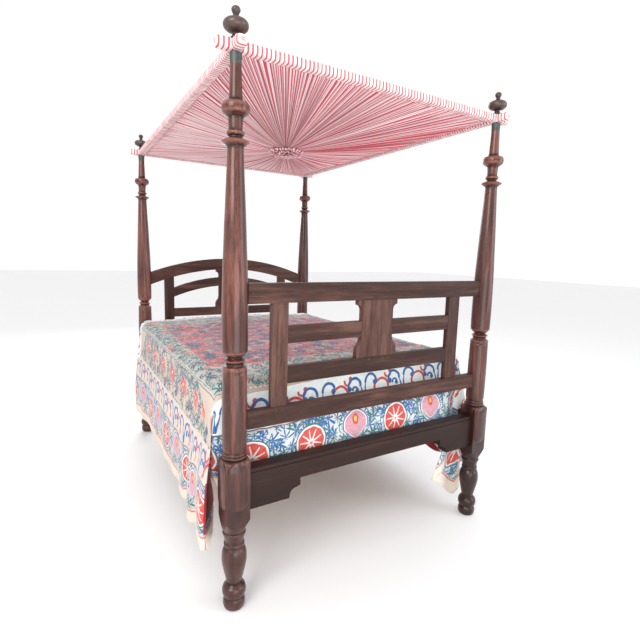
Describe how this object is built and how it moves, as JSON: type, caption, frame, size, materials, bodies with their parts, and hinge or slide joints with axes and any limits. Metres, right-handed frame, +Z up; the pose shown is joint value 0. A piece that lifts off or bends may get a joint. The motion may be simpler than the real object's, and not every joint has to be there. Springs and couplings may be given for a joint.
{
  "type": "four poster bed",
  "caption": "Full-size four poster bed with turned posts, slatted head and foot boards, a draped printed coverlet and a flat pleated canopy held by finial pins.",
  "frame": {"origin": "on the floor, midway between the four posts", "axes": "+Z up; +Y along the bed from the foot to the head; +X to the right of someone at the foot who looks at the head"},
  "size_m": [1.6, 2.189, 2.334],
  "materials": {
    "turned_post": "polished dark red-brown rosewood",
    "bed_rail": "worn satin rosewood, lighter along its edges",
    "board_wood": "worn satin rosewood, lighter along its edges",
    "peg_wood": "dark end grain",
    "finial_wood": "ebonised turned wood",
    "pale_wood": "planed softwood, unfinished",
    "iron_ferrule": "dark grey-green, dull",
    "iron_pin": "black iron rod",
    "screw_steel": "plain steel",
    "mattress_cover": "woven cotton ticking",
    "coverlet": "printed cotton, cream ground with red, coral, teal and blue",
    "canopy_band": "striped cotton, red on off-white",
    "canopy_cloth": "striped cotton in fine pleats, red on off-white",
    "canopy_rosette": "striped cotton, gathered in ruffles"
  },
  "bodies": {
    "bedstead": {"post_foot_left": "turned_post", "post_foot_right": "turned_post", "post_head_left": "turned_post", "post_head_right": "turned_post", "ferrule_foot_left": "iron_ferrule", "ferrule_foot_right": "iron_ferrule", "ferrule_head_left": "iron_ferrule", "ferrule_head_right": "iron_ferrule", "foot_rail": "bed_rail", "head_rail": "bed_rail", "side_rail_left": "bed_rail", "side_rail_right": "bed_rail", "ledger_left": "pale_wood", "ledger_right": "pale_wood", "ledger_screws": "screw_steel", "bed_slats": "pale_wood", "footboard_top_rail": "board_wood", "footboard_lower_rail": "board_wood", "footboard_stile_left": "board_wood", "footboard_stile_right": "board_wood", "footboard_splat": "board_wood", "footboard_slat_upper_left": "board_wood", "footboard_slat_upper_right": "board_wood", "footboard_slat_lower": "board_wood", "footboard_pegs": "peg_wood", "headboard_arch_rail": "board_wood", "headboard_lower_rail": "board_wood", "headboard_stile_left": "board_wood", "headboard_stile_right": "board_wood", "headboard_splat": "board_wood", "headboard_slat_arched_left": "board_wood", "headboard_slat_arched_right": "board_wood", "headboard_slat_straight": "board_wood", "headboard_pegs": "peg_wood"},
    "bedding": {"mattress": "mattress_cover", "coverlet": "coverlet"},
    "canopy": {"canopy_rail_foot": "pale_wood", "canopy_rail_head": "pale_wood", "canopy_rail_left": "pale_wood", "canopy_rail_right": "pale_wood", "canopy_band_foot": "canopy_band", "canopy_band_head": "canopy_band", "canopy_band_left": "canopy_band", "canopy_band_right": "canopy_band", "canopy_cloth": "canopy_cloth", "canopy_hub": "pale_wood", "canopy_rosette": "canopy_rosette"},
    "finial_foot_left": {"finial_foot_left": "finial_wood", "finial_pin_foot_left": "iron_pin"},
    "finial_foot_right": {"finial_foot_right": "finial_wood", "finial_pin_foot_right": "iron_pin"},
    "finial_head_left": {"finial_head_left": "finial_wood", "finial_pin_head_left": "iron_pin"},
    "finial_head_right": {"finial_head_right": "finial_wood", "finial_pin_head_right": "iron_pin"}
  },
  "joints": [
    {"name": "bedding_lift", "type": "slide", "parent": "bedstead", "child": "bedding", "axis": [0, 0, 1], "range_m": [0, 0.25]},
    {"name": "canopy_lift", "type": "slide", "parent": "bedstead", "child": "canopy", "axis": [0, 0, 1], "range_m": [0, 0.12]},
    {"name": "finial_foot_left_lift", "type": "slide", "parent": "canopy", "child": "finial_foot_left", "axis": [0, 0, 1], "range_m": [0, 0.16]},
    {"name": "finial_foot_right_lift", "type": "slide", "parent": "canopy", "child": "finial_foot_right", "axis": [0, 0, 1], "range_m": [0, 0.16]},
    {"name": "finial_head_left_lift", "type": "slide", "parent": "canopy", "child": "finial_head_left", "axis": [0, 0, 1], "range_m": [0, 0.16]},
    {"name": "finial_head_right_lift", "type": "slide", "parent": "canopy", "child": "finial_head_right", "axis": [0, 0, 1], "range_m": [0, 0.16]}
  ]
}
